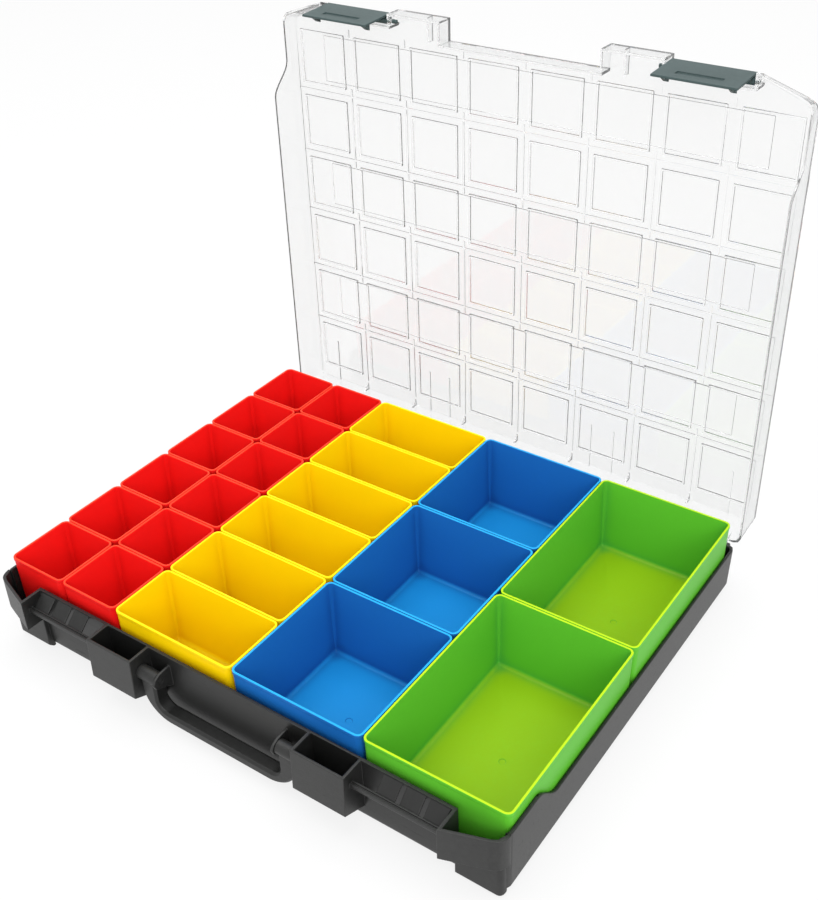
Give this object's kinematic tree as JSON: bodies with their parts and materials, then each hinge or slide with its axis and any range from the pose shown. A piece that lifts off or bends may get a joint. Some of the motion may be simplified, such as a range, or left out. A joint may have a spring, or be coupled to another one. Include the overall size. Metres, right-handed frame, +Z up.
{
  "type": "assortment case",
  "caption": "Low portable assortment case: dark tray with coloured lift-out boxes on a grid, hinged clear lid standing open, two flap latches and a swinging carrying handle.",
  "frame": {"origin": "centre of the grid of boxes on the plane that the tray stands on", "axes": "+Z up, +X to the right seen from the front, +Y to the hinge side at the rear"},
  "size_m": [0.4208, 0.3854, 0.3801],
  "materials": {
    "tray": "fine moulded grain",
    "red": "smooth moulded",
    "yellow": "smooth moulded",
    "blue": "smooth moulded",
    "green": "smooth moulded",
    "clear": "clear moulded plastic",
    "latch": "fine moulded grain",
    "steel": "drawn wire"
  },
  "bodies": {
    "base": {"tray": "tray", "hinge_pin_1": "steel", "hinge_pin_2": "steel", "hinge_pin_3": "steel", "hinge_pin_4": "steel"},
    "cover": {"lid": "clear"},
    "latch_l": {"latch_left": "latch"},
    "latch_r": {"latch_right": "latch"},
    "handle": {"handle": "tray"},
    "inset_red_1": {"inset_red_1": "red"},
    "inset_red_2": {"inset_red_2": "red"},
    "inset_red_3": {"inset_red_3": "red"},
    "inset_red_4": {"inset_red_4": "red"},
    "inset_red_5": {"inset_red_5": "red"},
    "inset_red_6": {"inset_red_6": "red"},
    "inset_red_7": {"inset_red_7": "red"},
    "inset_red_8": {"inset_red_8": "red"},
    "inset_red_9": {"inset_red_9": "red"},
    "inset_red_10": {"inset_red_10": "red"},
    "inset_red_11": {"inset_red_11": "red"},
    "inset_red_12": {"inset_red_12": "red"},
    "inset_yellow_1": {"inset_yellow_1": "yellow"},
    "inset_yellow_2": {"inset_yellow_2": "yellow"},
    "inset_yellow_3": {"inset_yellow_3": "yellow"},
    "inset_yellow_4": {"inset_yellow_4": "yellow"},
    "inset_yellow_5": {"inset_yellow_5": "yellow"},
    "inset_yellow_6": {"inset_yellow_6": "yellow"},
    "inset_blue_1": {"inset_blue_1": "blue"},
    "inset_blue_2": {"inset_blue_2": "blue"},
    "inset_blue_3": {"inset_blue_3": "blue"},
    "inset_green_1": {"inset_green_1": "green"},
    "inset_green_2": {"inset_green_2": "green"}
  },
  "joints": [
    {"name": "lid_hinge", "type": "hinge", "parent": "base", "child": "cover", "pos_m": [0, 0.1679, 0.0343], "axis": [-1, 0, 0], "range_deg": [-90, 0]},
    {"name": "latch_left_pivot", "type": "hinge", "parent": "cover", "child": "latch_l", "pos_m": [-0.1405, 0.1943, 0.3729], "axis": [-1, 0, 0], "range_deg": [0, 90]},
    {"name": "latch_right_pivot", "type": "hinge", "parent": "cover", "child": "latch_r", "pos_m": [0.1405, 0.1943, 0.3729], "axis": [-1, 0, 0], "range_deg": [0, 90]},
    {"name": "handle_pivot", "type": "hinge", "parent": "base", "child": "handle", "pos_m": [0, -0.1704, 0.0422], "axis": [-1, 0, 0], "range_deg": [0, 100]},
    {"name": "inset_red_1_lift", "type": "slide", "parent": "base", "child": "inset_red_1", "axis": [0, 0, 1], "range_m": [0, 0.072]},
    {"name": "inset_red_2_lift", "type": "slide", "parent": "base", "child": "inset_red_2", "axis": [0, 0, 1], "range_m": [0, 0.072]},
    {"name": "inset_red_3_lift", "type": "slide", "parent": "base", "child": "inset_red_3", "axis": [0, 0, 1], "range_m": [0, 0.072]},
    {"name": "inset_red_4_lift", "type": "slide", "parent": "base", "child": "inset_red_4", "axis": [0, 0, 1], "range_m": [0, 0.072]},
    {"name": "inset_red_5_lift", "type": "slide", "parent": "base", "child": "inset_red_5", "axis": [0, 0, 1], "range_m": [0, 0.072]},
    {"name": "inset_red_6_lift", "type": "slide", "parent": "base", "child": "inset_red_6", "axis": [0, 0, 1], "range_m": [0, 0.072]},
    {"name": "inset_red_7_lift", "type": "slide", "parent": "base", "child": "inset_red_7", "axis": [0, 0, 1], "range_m": [0, 0.072]},
    {"name": "inset_red_8_lift", "type": "slide", "parent": "base", "child": "inset_red_8", "axis": [0, 0, 1], "range_m": [0, 0.072]},
    {"name": "inset_red_9_lift", "type": "slide", "parent": "base", "child": "inset_red_9", "axis": [0, 0, 1], "range_m": [0, 0.072]},
    {"name": "inset_red_10_lift", "type": "slide", "parent": "base", "child": "inset_red_10", "axis": [0, 0, 1], "range_m": [0, 0.072]},
    {"name": "inset_red_11_lift", "type": "slide", "parent": "base", "child": "inset_red_11", "axis": [0, 0, 1], "range_m": [0, 0.072]},
    {"name": "inset_red_12_lift", "type": "slide", "parent": "base", "child": "inset_red_12", "axis": [0, 0, 1], "range_m": [0, 0.072]},
    {"name": "inset_yellow_1_lift", "type": "slide", "parent": "base", "child": "inset_yellow_1", "axis": [0, 0, 1], "range_m": [0, 0.072]},
    {"name": "inset_yellow_2_lift", "type": "slide", "parent": "base", "child": "inset_yellow_2", "axis": [0, 0, 1], "range_m": [0, 0.072]},
    {"name": "inset_yellow_3_lift", "type": "slide", "parent": "base", "child": "inset_yellow_3", "axis": [0, 0, 1], "range_m": [0, 0.072]},
    {"name": "inset_yellow_4_lift", "type": "slide", "parent": "base", "child": "inset_yellow_4", "axis": [0, 0, 1], "range_m": [0, 0.072]},
    {"name": "inset_yellow_5_lift", "type": "slide", "parent": "base", "child": "inset_yellow_5", "axis": [0, 0, 1], "range_m": [0, 0.072]},
    {"name": "inset_yellow_6_lift", "type": "slide", "parent": "base", "child": "inset_yellow_6", "axis": [0, 0, 1], "range_m": [0, 0.072]},
    {"name": "inset_blue_1_lift", "type": "slide", "parent": "base", "child": "inset_blue_1", "axis": [0, 0, 1], "range_m": [0, 0.072]},
    {"name": "inset_blue_2_lift", "type": "slide", "parent": "base", "child": "inset_blue_2", "axis": [0, 0, 1], "range_m": [0, 0.072]},
    {"name": "inset_blue_3_lift", "type": "slide", "parent": "base", "child": "inset_blue_3", "axis": [0, 0, 1], "range_m": [0, 0.072]},
    {"name": "inset_green_1_lift", "type": "slide", "parent": "base", "child": "inset_green_1", "axis": [0, 0, 1], "range_m": [0, 0.072]},
    {"name": "inset_green_2_lift", "type": "slide", "parent": "base", "child": "inset_green_2", "axis": [0, 0, 1], "range_m": [0, 0.072]}
  ]
}
